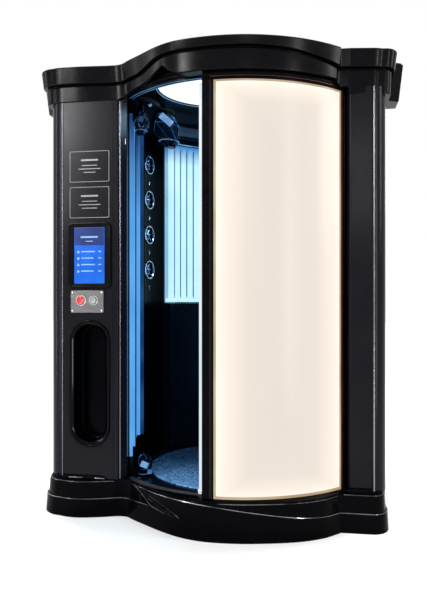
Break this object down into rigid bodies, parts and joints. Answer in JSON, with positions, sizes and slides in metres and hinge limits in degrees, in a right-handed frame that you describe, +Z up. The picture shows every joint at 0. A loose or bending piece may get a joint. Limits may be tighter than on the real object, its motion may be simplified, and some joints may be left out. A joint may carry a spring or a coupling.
{
  "type": "tanning booth",
  "caption": "Stand-up round-cabin tanning booth with a control pillar, lit curved front panel, curved sliding door, upright lamps, and two-tier crown and plinth.",
  "frame": {"origin": "The cabin's upright axis where it meets the floor, on the underside of the base deck.", "axes": "+Z up; -Y is the front, where the doorway and the lit panel are; +X is to the right seen from the front."},
  "size_m": [1.9454, 1.5534, 2.34],
  "materials": {
    "shell": "satin charcoal",
    "gloss_black": "gloss black",
    "trim": "satin black",
    "liner": "semi-gloss blue-black",
    "reflector": "bright polished",
    "lamp": "coated tube",
    "opal": "opal satin",
    "steel": "brushed",
    "acrylic": "clear",
    "edge_white": "satin white",
    "screen": "gloss",
    "red": "gloss red",
    "grey": "satin grey",
    "mat": "textured",
    "deck": "sealed board",
    "tank": "natural"
  },
  "bodies": {
    "root": {"base_deck": "deck", "base_left": "gloss_black", "base_right": "gloss_black", "base_bow": "gloss_black", "floor_pan": "liner", "floor_mat": "mat", "threshold_sill": "trim", "left_pillar_shell": "shell", "right_pillar_shell": "shell", "rear_panel": "shell", "mains_inlet": "trim", "wall_left": "liner", "wall_right": "liner", "rear_reflector": "reflector", "rear_lower_panel": "liner", "lamp_valance": "liner", "rear_lamp_module_1": "lamp", "rear_lamp_module_2": "lamp", "rear_lamp_module_3": "lamp", "side_lamp_bank_left": "lamp", "side_lamp_bank_right": "lamp", "mist_column": "trim", "ceiling_panel": "liner", "ceiling_light_ring": "steel", "ceiling_light_lens": "opal", "roof_panel": "trim", "fan_housing": "trim", "crown_left": "gloss_black", "crown_right": "gloss_black", "crown_bow": "gloss_black", "crown_side_left": "gloss_black", "crown_side_right": "gloss_black", "header_rail": "trim", "lightbox_stile_left": "trim", "lightbox_stile_right": "trim", "lightbox_diffuser": "opal", "lightbox_led_panel": "edge_white", "door_track_bottom": "steel", "door_track_top": "steel", "screen_bezel": "gloss_black", "touch_screen": "screen", "button_plate": "steel", "cubby_liner": "gloss_black", "step_plate_1": "shell", "step_plate_2": "shell", "face_lamp_arm": "steel", "leg_lamp": "gloss_black", "solution_tank": "tank", "mist_pump": "steel", "control_box": "grey"},
    "door": {"door_leaf": "acrylic", "door_edge": "edge_white", "door_glide": "edge_white"},
    "red_button": {"red_button": "red"},
    "grey_button": {"grey_button": "grey"},
    "face_lamp_big": {"face_lamp_big": "gloss_black"},
    "face_lamp_small": {"face_lamp_small": "gloss_black"},
    "fan_rotor": {"fan_rotor": "trim"},
    "service_door": {"service_door": "shell"},
    "service_latch": {"service_latch": "steel"}
  },
  "joints": [
    {"name": "door_slide", "type": "hinge", "parent": "root", "child": "door", "pos_m": [0, 0, 0], "axis": [0, 0, -1], "range_deg": [0, 40]},
    {"name": "red_button_press", "type": "slide", "parent": "root", "child": "red_button", "axis": [0, 1, 0], "range_m": [0, 0.006], "stiffness_N_per_m": 500},
    {"name": "grey_button_press", "type": "slide", "parent": "root", "child": "grey_button", "axis": [0, 1, 0], "range_m": [0, 0.006], "stiffness_N_per_m": 500},
    {"name": "face_lamp_big_tilt", "type": "hinge", "parent": "root", "child": "face_lamp_big", "pos_m": [-0.41025, -0.12543, 2.2156], "axis": [0.3854, 0.9227, 0], "range_deg": [-20, 30]},
    {"name": "face_lamp_small_tilt", "type": "hinge", "parent": "root", "child": "face_lamp_small", "pos_m": [-0.49732, -0.33387, 2.2156], "axis": [0.3854, 0.9227, 0], "range_deg": [-25, 4]},
    {"name": "fan_spin", "type": "hinge", "parent": "root", "child": "fan_rotor", "pos_m": [0.11999, 0.2695, 2.314], "axis": [0, 0, 1], "continuous": true},
    {"name": "service_door_swing", "type": "hinge", "parent": "root", "child": "service_door", "pos_m": [-0.9224, 0.72, 1.178], "axis": [0, 0, 1], "range_deg": [0, 105]},
    {"name": "service_latch_turn", "type": "hinge", "parent": "service_door", "child": "service_latch", "pos_m": [-0.47643, 0.7274, 1.178], "axis": [0, 1, 0], "range_deg": [0, 90]}
  ]
}
